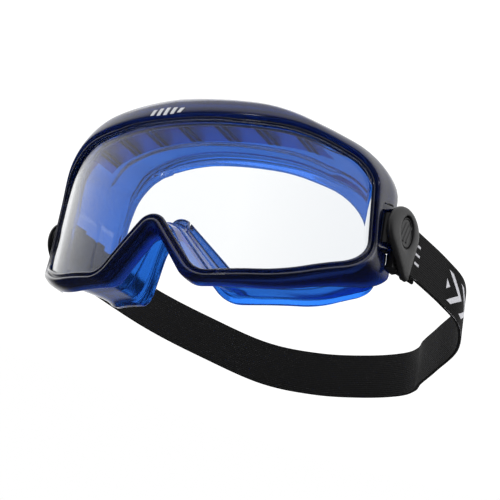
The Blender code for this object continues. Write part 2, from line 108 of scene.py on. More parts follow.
def moved_out(points, distance):
    """The outline pushed outwards by distance, a number or one per point, with x measured along the
    bend of the lens."""
    bent = np.column_stack([LENS_RADIUS * np.arcsin(points[:, 0] / LENS_RADIUS), points[:, 1]])
    bent = bent + outward(bent) * np.reshape(distance, (-1, 1))
    return np.column_stack([LENS_RADIUS * np.sin(bent[:, 0] / LENS_RADIUS), bent[:, 1]])


def placed(points, depth, square=0.0):
    """Outline points on the lens's front surface, y = R - sqrt(R^2 - x^2), moved back by depth: along
    the lens's normal where square is 0 and straight back where it is 1."""
    x, z = points.T
    angle = np.arcsin(np.clip(x / LENS_RADIUS, -0.99, 0.99))
    back_x = -np.sin(angle) * (1 - square)
    back_y = np.cos(angle) * (1 - square) + square
    surface_y = LENS_RADIUS * (1 - np.cos(angle))
    return np.column_stack([x + back_x * depth, surface_y + back_y * depth, z])


def skin(name, rings, ends="closed"):
    """A skin over rings of equal count: point (i, j) joins (i + 1, j) and (i, j + 1). The last ring
    joins the first, or the first and last rings each close on a pole at their mean."""
    rings = np.asarray(rings, float)
    total, count = rings.shape[:2]
    points = rings.reshape(-1, 3)
    i, j = np.meshgrid(np.arange(total - (ends == "poles")), np.arange(count), indexing="ij")
    turn, climb = (j + 1) % count, (i + 1) % total * count
    faces = np.stack([i * count + j, i * count + turn, climb + turn, climb + j], -1)
    faces = faces.reshape(-1, 4).tolist()
    if ends == "poles":
        k = np.arange(count)
        points = np.vstack([points, rings[0].mean(axis=0), rings[-1].mean(axis=0)])
        first = np.column_stack([(k + 1) % count, k, np.full(count, total * count)])
        last = (total - 1) * count + np.column_stack([k, (k + 1) % count, np.full(count, count + 1)])
        faces += first.tolist() + last.tolist()
    mesh = bpy.data.meshes.new(name)
    mesh.from_pydata(to_frame(points).tolist(), [], faces)
    work = bmesh.new()
    work.from_mesh(mesh)
    bmesh.ops.recalc_face_normals(work, faces=work.faces)
    work.to_mesh(mesh)
    work.free()
    mesh.shade_smooth()
    piece = bpy.data.objects.new(name, mesh)
    bpy.context.scene.collection.objects.link(piece)
    return piece


def linear(colour):
    """An sRGB hex colour as linear light, with full alpha."""
    value = np.array([int(colour[i:i + 2], 16) for i in (1, 3, 5)]) / 255
    value = np.where(value <= 0.04045, value / 12.92, ((value + 0.055) / 1.055) ** 2.4)
    return (*value.tolist(), 1.0)


def new_material(name, constants):
    """A Principled material, with the values that are the same all over set on its own sockets."""
    made = bpy.data.materials.new(name)
    made.use_nodes = True
    shader = made.node_tree.nodes["Principled BSDF"]
    for socket, value in constants.items():
        shader.inputs[socket].default_value = value
    return made, made.node_tree, shader


def add_node(tree, kind, settings, links):
    """Adds one node. settings sets its attributes and input values, and links its inputs' sources."""
    made = tree.nodes.new(kind)
    for key, value in settings.items():
        if isinstance(key, str) and hasattr(made, key):
            setattr(made, key, value)
        else:
            made.inputs[key].default_value = value
    for key, source in links.items():
        tree.links.new(source, made.inputs[key])
    return made


opening = outline(OPENING)
lens_edge = moved_out(opening, LENS_BITE)
lens_bent = np.column_stack([LENS_RADIUS * np.arcsin(lens_edge[:, 0] / LENS_RADIUS), lens_edge[:, 1]])
lens_rounds = [LENS_MIDDLE + (lens_bent - LENS_MIDDLE) * share for share in LENS_ROUNDS]
lens_rounds = [np.column_stack([LENS_RADIUS * np.sin(r[:, 0] / LENS_RADIUS), r[:, 1]])
               for r in lens_rounds]
lens = skin("clear_lens", [placed(r, 0.0) for r in lens_rounds]
            + [placed(r, LENS_THICKNESS) for r in lens_rounds[::-1]], "poles")

# Optical polycarbonate, hard-coated: clear, with a grey tint painted where it wraps round the temples, a
# painted reflection in place of the faint sheen seen there.
clear, tree, shader = new_material("hard-coated clear polycarbonate", {
    "Roughness": 0.015, "IOR": 1.58, "Transmission Weight": 1.0})
place = add_node(tree, "ShaderNodeTexCoord", {}, {})
axes = add_node(tree, "ShaderNodeSeparateXYZ", {}, {0: place.outputs["Object"]})
side = add_node(tree, "ShaderNodeMath", {"operation": "ABSOLUTE"}, {0: axes.outputs["X"]})
# painted reflection: the lens is tinted grey towards the temples, by distance from the middle
temple_reflection_share = add_node(tree, "ShaderNodeMapRange", {"From Min": 0.03, "From Max": 0.09}, {0: side.outputs[0]})
colour = add_node(tree, "ShaderNodeMix", {"data_type": "RGBA", 6: linear("#f6f8f9"),
                                          7: linear("#dfe2e6")}, {0: temple_reflection_share.outputs[0]})
tree.links.new(colour.outputs[2], shader.inputs["Base Color"])
lens.data.materials.append(clear)
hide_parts("lens")
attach(lens, "goggles")

# ---- Front frame --------------------------------------------------------------------------------
# One injection moulding of dark blue see-through PVC. A thin lip and a narrow channel run round the
# lens, a broad shoulder rounds over to the wall that reaches back, and two lugs on each side stand
# behind the wall for the hinge pin.
OUTER = ((0, -6.0, 5.0), (18.5, -31.1, 9.0), (57, -28.2, 60.0), (88.0, -12.5, 15.0),
         (88.4, 42.0, 20.0), (46, 56.4, 80.0), (0, 58.2, 0.0))
FRAME_WALL = 2.2
HINGE = np.array([87.6, 50.5])
LUG_LEVELS = ((0.5, 3.5), (18.5, 21.5))
LUG_RADIUS = 3.2
LUG_ROOT = ((HINGE[0] - 0.9, HINGE[1] - 5.5), (HINGE[0] - 3.6, HINGE[1] - 4.6))
NOTCH_HALF = 28.0          # half the length of brow over which the lip stands further out
NOTCH_STEP = 0.6
BROW_START, BROW_RUN = 30.0, 6.0
PIN_RADIUS = 1.2
GAP = 0.3
# the wall is cut away beside each hinge: from x, to x, and how far in front of the hinge
ROOM_X = (75.0, 99.0)
ROOM_FRONT = 4.2
ROOM_LOW, ROOM_HIGH = -0.1, LUG_LEVELS[1][1] + 1.0
STRAP_ROOM_BACK = 3.0
# the CAD's room reaches down to -7.1: this one stops higher, for a smaller hole beside the buckle's
# foot, and so the lower cheek of each buckle base runs 1.2 mm into the wall
STRAP_ROOM_LOW, STRAP_ROOM_HIGH = -4.6, 0.6
CREASE = np.radians(50)


def refined(rings, rounds):
    """Closed rings of points made smoother across the profile: each round doubles them as a cubic
    B-spline does, with the mean of two neighbours between and 1-6-1 weights on the old ones."""
    rings = np.asarray(rings, float)
    for _ in range(rounds):
        before, after = np.roll(rings, 1, axis=0), np.roll(rings, -1, axis=0)
        doubled = np.empty((2 * len(rings), *rings.shape[1:]))
        doubled[0::2] = (before + 6 * rings + after) / 8
        doubled[1::2] = (rings + after) / 2
        rings = doubled
    return rings


def sleeve_depth(points):
    """How far back the wall reaches: far at the brow, little at the temples, and a little more at
    the lower corners, where it shields the foot of each buckle."""
    x, z = points.T
    middle = 1 - (x / 92.0) ** 2
    corner = np.clip((np.abs(x) - 66.0) / 14.0, 0, 1) * np.clip((-3.0 - z) / 5.0, 0, 1)
    brow = np.clip((z + 5.0) / 55.0, 0, 1) * middle
    return 6.0 + 4.0 * middle + 12.0 * brow + 6.0 * corner


def block(name, low, high):
    """A plain box between two corners, used to cut or to be joined, and never shown."""
    (x0, y0, z0), (x1, y1, z1) = low, high
    points = [(x0, y0, z0), (x1, y0, z0), (x1, y1, z0), (x0, y1, z0),
              (x0, y0, z1), (x1, y0, z1), (x1, y1, z1), (x0, y1, z1)]
    faces = [(0, 3, 2, 1), (4, 5, 6, 7), (0, 1, 5, 4), (1, 2, 6, 5), (2, 3, 7, 6), (3, 0, 4, 7)]
    mesh = bpy.data.meshes.new(name)
    mesh.from_pydata(to_frame(points).tolist(), [], faces)
    made = bpy.data.objects.new(name, mesh)
    bpy.context.scene.collection.objects.link(made)
    return made


def carved(piece, tools):
    """Cuts and joins the tools, pairs of an operation and an object, then removes them and leaves the
    piece as plain mesh."""
    for operation, tool in tools:
        change = piece.modifiers.new(tool.name, "BOOLEAN")
        change.operation = operation
        change.object = tool
        change.solver = "EXACT"
    bpy.context.view_layer.update()
    evaluated = piece.evaluated_get(bpy.context.evaluated_depsgraph_get())
    result = bpy.data.meshes.new_from_object(evaluated)
    piece.modifiers.clear()
    piece.data = result
    result.shade_smooth()
    result.set_sharp_from_angle(angle=CREASE)
    for _, tool in tools:
        bpy.data.objects.remove(tool, do_unlink=True)
    return piece


def pillar(name, centre, profile, sides=40):
    """A turned upright shape: radius and height pairs carried round a centre in x and y."""
    angle = np.arange(sides) * 2 * np.pi / sides
    rings = [np.column_stack([centre[0] + r * np.cos(angle), centre[1] + r * np.sin(angle),
                              np.full(sides, z)]) for r, z in profile]
    return skin(name, rings, "poles")


outer = outline(OUTER)
inner = outer - outward(outer) * FRAME_WALL
shoulder = moved_out(opening, LENS_BITE + 0.8)
back = sleeve_depth(outer)
on_brow = np.clip((opening[:, 1] - BROW_START) / BROW_RUN, 0, 1)
notch = on_brow * np.clip((NOTCH_HALF - np.abs(opening[:, 0])) / 2.0, 0, 1) * NOTCH_STEP
# distance out from the opening, depth from the lens's front
lip = ((0.0, -0.3), (-0.1, -1.2), (0.2, -1.8), (0.7, -2.0), (1.2, -1.8), (1.4, -1.1), (1.5, -0.6))
channel = ((1.9, -0.6), (2.05, -1.2), (2.3, -2.3), (3.0, -2.8))
rings = [placed(moved_out(opening, distance + notch), depth) for distance, depth in lip]
rings += [placed(moved_out(opening, distance), depth) for distance, depth in channel]
# share of the way from shoulder to outer edge, depth, share of the wall's depth, squareness
for share, start, slope, square in ((0.12, -2.8, 0.0, 0.2), (0.45, -2.3, 0.01, 0.5),
                                    (0.72, -1.4, 0.03, 0.8), (0.91, -0.2, 0.07, 1.0),
                                    (0.99, 1.2, 0.12, 1.0)):
    rings.append(placed(shoulder + (outer - shoulder) * share, start + slope * back, square))
rings += [placed(outer, back * 0.45, 1.0), placed(outer, back * 0.9, 1.0),
          placed(outer - outward(outer) * 0.2, back, 1.0),
          placed(inner + outward(outer) * 0.2, back, 1.0), placed(inner, back * 0.9, 1.0),
          placed(inner, back * 0.5 + 1.4, 1.0)]
for share, start, slope, square in ((0.72, 4.1, 0.1, 1.0), (0.30, 4.3, 0.02, 0.6)):
    rings.append(placed(shoulder + (inner - shoulder) * share, start + slope * back, square))
rear = LENS_THICKNESS + GAP
groove = LENS_BITE + GAP
rings += [placed(moved_out(opening, 1.1), rear + 1.6), placed(moved_out(opening, 0.9), rear + 0.9),
          placed(moved_out(opening, 1.1), rear), placed(moved_out(opening, groove), rear),
          placed(moved_out(opening, groove), -GAP), placed(moved_out(opening, 1.0), -GAP)]
shell = skin("blue_frame", refined(rings, 2))

tools = []
for side in (-1, 1):
    ends = sorted((side * ROOM_X[0], side * ROOM_X[1]))
    tools.append(("DIFFERENCE", block("buckle_room", (ends[0], HINGE[1] - ROOM_FRONT, ROOM_LOW),
                                      (ends[1], HINGE[1] + 30, ROOM_HIGH))))
    # a little wider than the buckle's room, so that no two cutting faces lie in one plane
    tools.append(("DIFFERENCE", block("strap_room",
                                      (ends[0] - 0.3, HINGE[1] + STRAP_ROOM_BACK, STRAP_ROOM_LOW),
                                      (ends[1] + 0.3, HINGE[1] + 31, STRAP_ROOM_HIGH))))
    for low, high in LUG_LEVELS:
        reach = np.linspace(-np.pi / 2, np.pi / 2, 25)
        nose = HINGE + LUG_RADIUS * np.column_stack([np.sin(reach), np.cos(reach)])
        flat = np.vstack([nose, LUG_ROOT])
        flat = flat * (side, 1)
        levels = [(0.9, low), (1.0, low + 0.3), (1.0, high - 0.3), (0.9, high)]
        middle = flat.mean(axis=0)
        lug = skin("lug", [np.column_stack([middle + (flat - middle) * s, np.full(len(flat), z)])
                           for s, z in levels], "poles")
        tools.append(("UNION", lug))
        hole = pillar("pin_hole", HINGE * (side, 1), [(PIN_RADIUS + GAP, low - 1),
                                                      (PIN_RADIUS + GAP, high + 1)])
        tools.append(("DIFFERENCE", hole))
front_frame = carved(shell, tools)

# Plasticised PVC, glossy from the polished mould and dyed dark blue right through: the thick face by
# the lens goes nearly black and the thin wall behind glows blue. A faint flow mottle, 22 mm across,
# and a soft ripple, 6 mm across, break up the gloss. A noise's scale is its patches per metre.
navy, tree, shader = new_material("glossy navy see-through PVC", {
    "IOR": 1.53, "Transmission Weight": 0.72, "Coat Weight": 0.3, "Coat Roughness": 0.12})
place = add_node(tree, "ShaderNodeTexCoord", {}, {})
mottle = add_node(tree, "ShaderNodeTexNoise", {"Scale": 45.0, "Detail": 3.0},
                  {"Vector": place.outputs["Object"]})
bend_axis = to_frame((0.0, LENS_RADIUS, 0.0))
from_axis = add_node(tree, "ShaderNodeVectorMath", {"operation": "SUBTRACT", 1: bend_axis},
                     {0: place.outputs["Object"]})
level = add_node(tree, "ShaderNodeVectorMath", {"operation": "MULTIPLY", 1: (1.0, 1.0, 0.0)},
                 {0: from_axis.outputs[0]})
radius = add_node(tree, "ShaderNodeVectorMath", {"operation": "LENGTH"}, {0: level.outputs[0]})
thin = add_node(tree, "ShaderNodeMapRange", {"From Min": (LENS_RADIUS - 3.0) * 0.001,
                                             "From Max": (LENS_RADIUS - 9.0) * 0.001},
                {0: radius.outputs["Value"]})
deep = add_node(tree, "ShaderNodeMix", {"data_type": "RGBA", 6: linear("#0a1330"),
                                        7: linear("#0d1c50")}, {0: mottle.outputs[0]})
colour = add_node(tree, "ShaderNodeMix", {"data_type": "RGBA", 7: linear("#2a66dc")},
                  {0: thin.outputs[0], 6: deep.outputs[2]})
tree.links.new(colour.outputs[2], shader.inputs["Base Color"])
gloss = add_node(tree, "ShaderNodeMapRange", {"To Min": 0.12, "To Max": 0.26}, {0: mottle.outputs[0]})
tree.links.new(gloss.outputs[0], shader.inputs["Roughness"])
ripple = add_node(tree, "ShaderNodeTexNoise", {"Scale": 160.0, "Detail": 1.0},
                  {"Vector": place.outputs["Object"]})
relief = add_node(tree, "ShaderNodeBump", {"Strength": 0.12, "Distance": 0.0004},
                  {"Height": ripple.outputs[0]})
tree.links.new(relief.outputs[0], shader.inputs["Normal"])
front_frame.data.materials.clear()
front_frame.data.materials.append(navy)
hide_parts("front_frame")
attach(front_frame, "goggles")

# ---- Brow print ---------------------------------------------------------------------------------
# A small pad-printed mark in white ink on the brow: five slanted bars, too thin to feel.
BAR_PITCH = 3.6
BAR_COUNT = 5
PRINT_LEFT = -12.0
PRINT_LOW, PRINT_HIGH = 47.0, 50.8
BAR_WIDTH, BAR_SLANT = 1.9, 1.5
PRINT_START = -12.0        # in front of the brow, from where the bars are projected back on to it
ACROSS_STEPS, UP_STEPS = 9, 13
INK = 0.12

across, up = np.meshgrid(np.linspace(0, 1, ACROSS_STEPS), np.linspace(0, 1, UP_STEPS), indexing="ij")
bars = np.arange(BAR_COUNT)[:, None, None]
tall = (PRINT_HIGH - PRINT_LOW) * (0.55 + 0.45 * np.sin(np.pi * (bars + 0.7) / BAR_COUNT))
bar_x = PRINT_LEFT + bars * BAR_PITCH + BAR_WIDTH * across + BAR_SLANT * up
bar_z = (PRINT_LOW + PRINT_HIGH) / 2 + (up - 0.5) * tall
points = np.stack([bar_x, np.full_like(bar_x, PRINT_START), bar_z], -1).reshape(-1, 3)
i, j, b = np.meshgrid(np.arange(ACROSS_STEPS - 1), np.arange(UP_STEPS - 1), np.arange(BAR_COUNT),
                      indexing="ij")
corner = (b * ACROSS_STEPS + i) * UP_STEPS + j
faces = np.stack([corner, corner + UP_STEPS, corner + UP_STEPS + 1, corner + 1], -1).reshape(-1, 4)
mesh = bpy.data.meshes.new("brow_print")
mesh.from_pydata(to_frame(points).tolist(), [], faces.tolist())
brow_print = bpy.data.objects.new("brow_print", mesh)
bpy.context.scene.collection.objects.link(brow_print)
lay = brow_print.modifiers.new("lay", "SHRINKWRAP")
lay.wrap_method = "PROJECT"
lay.use_project_y = True
lay.target = front_frame
lay.offset = INK * 0.001
film = brow_print.modifiers.new("film", "SOLIDIFY")
film.thickness = INK * 0.0008
film.offset = 0.0
carved(brow_print, [])
# Matt white ink that lies on the gloss, with a grain of 0.4 mm.
ink, tree, shader = new_material("white pad-printing ink", {
    "Base Color": linear("#e9e9ee"), "IOR": 1.5, "Roughness": 0.5})
place = add_node(tree, "ShaderNodeTexCoord", {}, {})
grain = add_node(tree, "ShaderNodeTexNoise", {"Scale": 2500.0}, {"Vector": place.outputs["Object"]})
relief = add_node(tree, "ShaderNodeBump", {"Strength": 0.1, "Distance": 0.0001},
                  {"Height": grain.outputs[0]})
tree.links.new(relief.outputs[0], shader.inputs["Normal"])
brow_print.data.materials.append(ink)
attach(brow_print, "goggles")

# ---- Face skirt ---------------------------------------------------------------------------------
# A softer, paler blue PVC moulding behind the lens. Its wall steps in once behind the vents, runs to a
# ridge, and turns in to the flange that seals on the face; two slits free the middle of the nose flap.
FLANGE_OUT = ((0, -3.0, 5.0), (20.5, -28.0, 9.0), (54, -21.0, 30.0), (71.0, -8.5, 12.0),
              (72.5, 41.0, 20.0), (46, 49.5, 80.0), (0, 51.0, 0.0))
FLANGE_IN = ((0, 9.5, 7.0), (29, -21.0, 9.0), (54, -13.5, 25.0), (66.5, -2.0, 12.0),
             (67.0, 34.0, 20.0), (38, 40.4, 70.0), (0, 41.2, 0.0))
SKIRT_WALL = 1.6
SKIRT_OFFSET = 2.6
SKIRT_START = 6.4          # from the lens's front to the front edge of the wall
FACE_Y, FACE_SWEEP, FACE_X, NOSE_RISE = 40.0, 52.0, 80.0, 17.0
FLARE = 1.8
SLIT_X, SLIT_Y, SLIT_Z = (4.0, 5.2), (8.0, 40.0), (0.8, 20.0)


def at_face(points, forward):
    """Outline points on the wearer's face and a little forward of it. The face is
    y = 40 + 52 (x / 80)^2, less a bell over the nose that dies away upwards."""
    x, z = points.T
    nose = np.exp(-((x / 15.0) ** 2)) * np.clip((30.0 - z) / 25.0, 0.0, 1.0)
    return np.column_stack([x, FACE_Y + FACE_SWEEP * (x / FACE_X) ** 2 - NOSE_RISE * nose - forward,
                            z])


def toward(start, end, share):
    """Points a share of the way from one outline or ring to another."""
    return start + (end - start) * share


room = np.linalg.norm(inner - opening, axis=1, keepdims=True)
outside = opening + (inner - opening) * np.minimum(0.72, SKIRT_OFFSET / room)
inside = outside - outward(outside) * SKIRT_WALL
out_edge, in_edge = outline(FLANGE_OUT), outline(FLANGE_IN)
closing = 0.3 + 0.3 * (outside[:, :1] / FACE_X) ** 2
# the front edge flares out towards the frame, as far as there is room
flare = outward(outside) * np.clip(0.5 * (room - SKIRT_OFFSET) - 0.4, 0.0, FLARE)
front_out = placed(outside + flare, SKIRT_START + 0.8, 0.9)
front_in = placed(inside, SKIRT_START, 0.6)
ridge_out = at_face(toward(outside, in_edge, closing), 6.0)
ridge_in = at_face(toward(inside, in_edge, closing + 0.06), 7.5)
inwards = np.insert(-outward(inside), 1, 0.0, axis=1)
step = 1.0 * np.clip((room - 6.0) / 6.0, 0.2, 1.0)
rings = [front_in, placed(toward(inside, outside, 0.1), SKIRT_START - 0.1, 0.7),
         placed(outside + flare * 0.9, SKIRT_START + 0.1, 0.8), front_out,
         placed(outside + flare * 0.3, SKIRT_START + 1.4, 0.9), placed(outside, SKIRT_START + 2.6, 0.9),
         toward(front_out, ridge_out, 0.5) + inwards * 0.4, ridge_out,
         at_face(toward(outside, out_edge, 0.85), 3.4), at_face(toward(outside, out_edge, 0.98), 2.2),
         at_face(out_edge, 1.5), at_face(out_edge, 0.6), at_face(toward(out_edge, in_edge, 0.08), 0.1),
         at_face(toward(out_edge, in_edge, 0.5), 0.0), at_face(toward(out_edge, in_edge, 0.93), 0.6),
         at_face(in_edge, 1.2), at_face(in_edge, 2.1), at_face(toward(in_edge, inside, 0.08), 2.9),
         at_face(toward(in_edge, inside, 0.4), 3.6), at_face(toward(in_edge, inside, 0.5), 4.0),
         toward(ridge_in, front_in, 0.03), toward(ridge_in, front_in, 0.08) + inwards * 0.5,
         toward(ridge_in, front_in, 0.38) + inwards * (step + 0.2),
         toward(ridge_in, front_in, 0.42) + inwards * (step + 0.5),
         toward(ridge_in, front_in, 0.44) + inwards * (step + 0.2),
         toward(ridge_in, front_in, 0.46) + inwards * 0.1, toward(ridge_in, front_in, 0.5),
         toward(ridge_in, front_in, 0.9)]
skirt = skin("blue_skirt", refined(rings, 2))
tools = []
for side in (-1, 1):
    ends = sorted((side * SLIT_X[0], side * SLIT_X[1]))
    tools.append(("DIFFERENCE", block("nose_slit", (ends[0], SLIT_Y[0], SLIT_Z[0]),
                                      (ends[1], SLIT_Y[1], SLIT_Z[1]))))
face_skirt = carved(skirt, tools)

# Softer PVC with a lighter dye: it lets blue light through everywhere, and a flow mottle 26 mm across
# changes its tint and gloss a little.
pale, tree, shader = new_material("soft see-through blue PVC", {
    "IOR": 1.53, "Transmission Weight": 0.94})
place = add_node(tree, "ShaderNodeTexCoord", {}, {})
mottle = add_node(tree, "ShaderNodeTexNoise", {"Scale": 38.0, "Detail": 2.0},
                  {"Vector": place.outputs["Object"]})
colour = add_node(tree, "ShaderNodeMix", {"data_type": "RGBA", 6: linear("#1a5cc0"),
                                          7: linear("#2e74da")}, {0: mottle.outputs[0]})
tree.links.new(colour.outputs[2], shader.inputs["Base Color"])
gloss = add_node(tree, "ShaderNodeMapRange", {"To Min": 0.05, "To Max": 0.13},
                 {0: mottle.outputs[0]})
tree.links.new(gloss.outputs[0], shader.inputs["Roughness"])
face_skirt.data.materials.clear()
face_skirt.data.materials.append(pale)
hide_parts("face_skirt")
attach(face_skirt, "goggles")

# ---- Vent ribs ----------------------------------------------------------------------------------
# A strip that lies on the skirt under the brow. Pairs of dark ribs stand on its thin blue web and keep
# the air gaps open; the light comes through the web between the pairs.
RIB_PITCH = 18.5           # along the bend of the lens
RIB_SPLIT = 3.4
RIB_WIDTH = 2.2
RIB_HALF_SPAN = 60.0
RIB_FRONT, RIB_REAR = 8.5, 24.0
RIB_HEIGHT, WEB_HEIGHT = 5.6, 0.8
LAST_RIB = 58.5

widest = int(np.argmax(outside[: len(outside) // 2, 0]))
roof = outside[widest: len(outside) // 2 + 1][::-1]
wall = inner[widest: len(inner) // 2 + 1][::-1]
x = np.linspace(-RIB_HALF_SPAN, RIB_HALF_SPAN, 721)
bend = LENS_RADIUS * np.arcsin(x / LENS_RADIUS)
phase = (bend + RIB_PITCH / 2) % RIB_PITCH - RIB_PITCH / 2
from_rib = np.abs(np.abs(phase) - RIB_SPLIT / 2)
stands = np.clip((RIB_WIDTH / 2 + 0.15 - from_rib) / 0.3, 0, 1) * (np.abs(bend) < LAST_RIB)
floor_z = np.interp(np.abs(x), roof[:, 0], roof[:, 1])
top = np.minimum(RIB_HEIGHT, 0.85 * (np.interp(np.abs(x), wall[:, 0], wall[:, 1]) - floor_z))
height = WEB_HEIGHT + (top - WEB_HEIGHT) * stands
section = ((RIB_FRONT + 0.2, 0.4, 0.0), (RIB_FRONT, 0.7, 0.0), (RIB_FRONT, -0.3, 1.0),
           (RIB_FRONT + 0.3, 0.0, 1.0), (RIB_REAR - 0.3, 0.0, 1.0), (RIB_REAR, -0.3, 1.0),
           (RIB_REAR, 0.7, 0.0), (RIB_REAR - 0.2, 0.4, 0.0))
rings = [placed(np.column_stack([x, floor_z + offset + height * rise]), depth, 1.0)
         for depth, offset, rise in section]
rings = np.transpose(np.array(rings), (1, 0, 2))
ribs = skin("vent_ribs", rings, "poles")
ribs.data.set_sharp_from_angle(angle=np.radians(35))
solid_share = np.repeat(stands, len(section))
solid_share = np.append(solid_share, (0.0, 0.0)).astype(np.float32)
ribs.data.attributes.new("rib", "FLOAT", "POINT").data.foreach_set("value", solid_share)
# The same PVC: the ribs are thick enough to look nearly black. The web is painted paler than its thin
# PVC, a painted light that brightens it in the shade under the brow, with a mottle 17 mm across.
rib_blue, tree, shader = new_material("blue PVC, thick in the ribs, web painted light", {"IOR": 1.53, "Roughness": 0.35})
place = add_node(tree, "ShaderNodeTexCoord", {}, {})
mottle = add_node(tree, "ShaderNodeTexNoise", {"Scale": 60.0}, {"Vector": place.outputs["Object"]})
# painted light: the web's pale blues stand in for light reaching it under the shading brow
painted_light_web = add_node(tree, "ShaderNodeMix", {"data_type": "RGBA", 6: linear("#8fc0ff"),
                                       7: linear("#a8d0ff")}, {0: mottle.outputs[0]})
thick = add_node(tree, "ShaderNodeAttribute", {"attribute_name": "rib"}, {})
colour = add_node(tree, "ShaderNodeMix", {"data_type": "RGBA", 7: linear("#05060e")},
                  {0: thick.outputs["Fac"], 6: painted_light_web.outputs[2]})
tree.links.new(colour.outputs[2], shader.inputs["Base Color"])
clearness = add_node(tree, "ShaderNodeMapRange", {"To Min": 0.9, "To Max": 0.0},
                     {0: thick.outputs["Fac"]})
tree.links.new(clearness.outputs[0], shader.inputs["Transmission Weight"])
ribs.data.materials.append(rib_blue)
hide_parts("upper_vent_baffle")
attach(ribs, "goggles")

# ---- Hinge pins and buckle bases ----------------------------------------------------------------
# Black acetal mouldings: the pins press into the lugs, and each base swings on its pin and carries
# the bar that the strap folds round. Acetal is waxy and low in gloss, with a moulded grain of 0.7 mm,
# coarser than the real one so that it shows.
acetal, tree, shader = new_material("black moulded acetal", {"IOR": 1.48})
place = add_node(tree, "ShaderNodeTexCoord", {}, {})
grain = add_node(tree, "ShaderNodeTexNoise", {"Scale": 1400.0, "Detail": 2.0},
                 {"Vector": place.outputs["Object"]})
colour = add_node(tree, "ShaderNodeMix", {"data_type": "RGBA", 6: linear("#0d0d0f"),
                                          7: linear("#17171a")}, {0: grain.outputs[0]})
tree.links.new(colour.outputs[2], shader.inputs["Base Color"])
gloss = add_node(tree, "ShaderNodeMapRange", {"To Min": 0.25, "To Max": 0.42}, {0: grain.outputs[0]})
tree.links.new(gloss.outputs[0], shader.inputs["Roughness"])
relief = add_node(tree, "ShaderNodeBump", {"Strength": 0.15, "Distance": 0.00015},
                  {"Height": grain.outputs[0]})
tree.links.new(relief.outputs[0], shader.inputs["Normal"])
for name in ("hinge_pin_left", "hinge_pin_right", "buckle_base_left", "buckle_base_right"):
    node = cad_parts[name]
    node.data.materials.clear()
    node.data.materials.append(acetal)
    weld = node.modifiers.new("weld", "WELD")
    weld.merge_threshold = 0.00001
    edge = node.modifiers.new("edge", "BEVEL")
    edge.width = 0.0003
    edge.segments = 2
    edge.limit_method = "ANGLE"
    edge.angle_limit = np.radians(50)

# ---- Buckle covers ------------------------------------------------------------------------------
# A teardrop shell of satin glass-filled nylon, slightly crowned, clips over each base. Its oval recess
# holds a black inlay with three raised bars.
YAW = {"left": np.radians(14.0), "right": np.radians(-6.0)}
RECESS_CENTRE = np.array([7.8, 12.0])
RECESS_WIDTH, RECESS_HEIGHT = 9.6, 15.6
HEAD, HEAD_RADIUS = np.array([6.8, 12.2]), 11.4
FOOT, FOOT_RADIUS = np.array([11.6, -7.2]), 2.6
COVER_SIDES = 144
TURN = np.arange(COVER_SIDES) * 2 * np.pi / COVER_SIDES
INLAY_FLOOR, INLAY_TOP, INLAY_RELIEF = 4.9, 5.05, 0.35
INLAY_PITCH, INLAY_SLANT = 2.2, 0.35


def buckle_place(side, points):
    """Buckle points (u back from the hinge, v up, w outwards) turned by the buckle's resting yaw about
    the hinge, and mirrored in x for the right side."""
    s = 1.0 if side == "left" else -1.0
    yaw = YAW[side]
    u, v, w = np.moveaxis(np.asarray(points, float), -1, 0)
    return np.stack([s * (HINGE[0] + u * np.sin(yaw) + w * np.cos(yaw)),
                     HINGE[1] + u * np.cos(yaw) - w * np.sin(yaw), v], -1)


def teardrop_reach():
    """From the recess's centre to the edge of the teardrop, the hull of a big and a small circle, in
    each direction of TURN: along the big circle, a side that touches both, the small circle and the
    other side."""
    run = FOOT - HEAD
    course = np.arctan2(run[1], run[0])
    open_by = np.arccos((HEAD_RADIUS - FOOT_RADIUS) / np.linalg.norm(run))
    first = np.linspace(course + open_by, course + 2 * np.pi - open_by, 120)
    last = np.linspace(course - open_by, course + open_by, 60)
    edge = np.vstack([HEAD + HEAD_RADIUS * np.column_stack([np.cos(first), np.sin(first)]),
                      FOOT + FOOT_RADIUS * np.column_stack([np.cos(last), np.sin(last)])])
    share = np.linspace(0, 1, 40)[:, None]
    edge = np.vstack([edge, toward(edge[119], edge[120], share), toward(edge[179], edge[0], share)])
    offset = edge - RECESS_CENTRE
    angle = np.arctan2(offset[:, 1], offset[:, 0]) % (2 * np.pi)
    order = np.argsort(angle)
    return np.interp(TURN, angle[order], np.linalg.norm(offset, axis=1)[order], period=2 * np.pi)


direction = np.column_stack([np.cos(TURN), np.sin(TURN)])
oval_reach = 1 / np.hypot(direction[:, 0] / (RECESS_WIDTH / 2), direction[:, 1] / (RECESS_HEIGHT / 2))
edge_reach = teardrop_reach()
# share from centre to oval (0 to 1) and on to the edge (1 to 2), height
COVER_PROFILE = ((0.1, 4.6), (0.6, 4.6), (0.94, 4.6), (0.985, 4.65), (1.0, 4.8), (1.0, 5.5),
                 (1.02, 5.85), (1.07, 6.0), (1.3, 6.1), (1.6, 5.95), (1.82, 5.6), (1.93, 5.2),
                 (1.985, 4.7), (2.0, 4.2), (1.99, 3.85), (1.95, 3.7), (1.6, 3.7), (1.0, 3.7),
                 (0.2, 3.7))
# Glass-filled nylon has a satin skin. Its grain, 1.1 mm here, is coarser than the real one so that it
# shows.
nylon, tree, shader = new_material("satin charcoal glass-filled nylon", {"IOR": 1.53})
place = add_node(tree, "ShaderNodeTexCoord", {}, {})
grain = add_node(tree, "ShaderNodeTexNoise", {"Scale": 900.0, "Detail": 3.0},
                 {"Vector": place.outputs["Object"]})
colour = add_node(tree, "ShaderNodeMix", {"data_type": "RGBA", 6: linear("#101012"),
                                          7: linear("#19191c")}, {0: grain.outputs[0]})
tree.links.new(colour.outputs[2], shader.inputs["Base Color"])
gloss = add_node(tree, "ShaderNodeMapRange", {"To Min": 0.34, "To Max": 0.5}, {0: grain.outputs[0]})
tree.links.new(gloss.outputs[0], shader.inputs["Roughness"])
relief = add_node(tree, "ShaderNodeBump", {"Strength": 0.25, "Distance": 0.0002},
                  {"Height": grain.outputs[0]})
tree.links.new(relief.outputs[0], shader.inputs["Normal"])
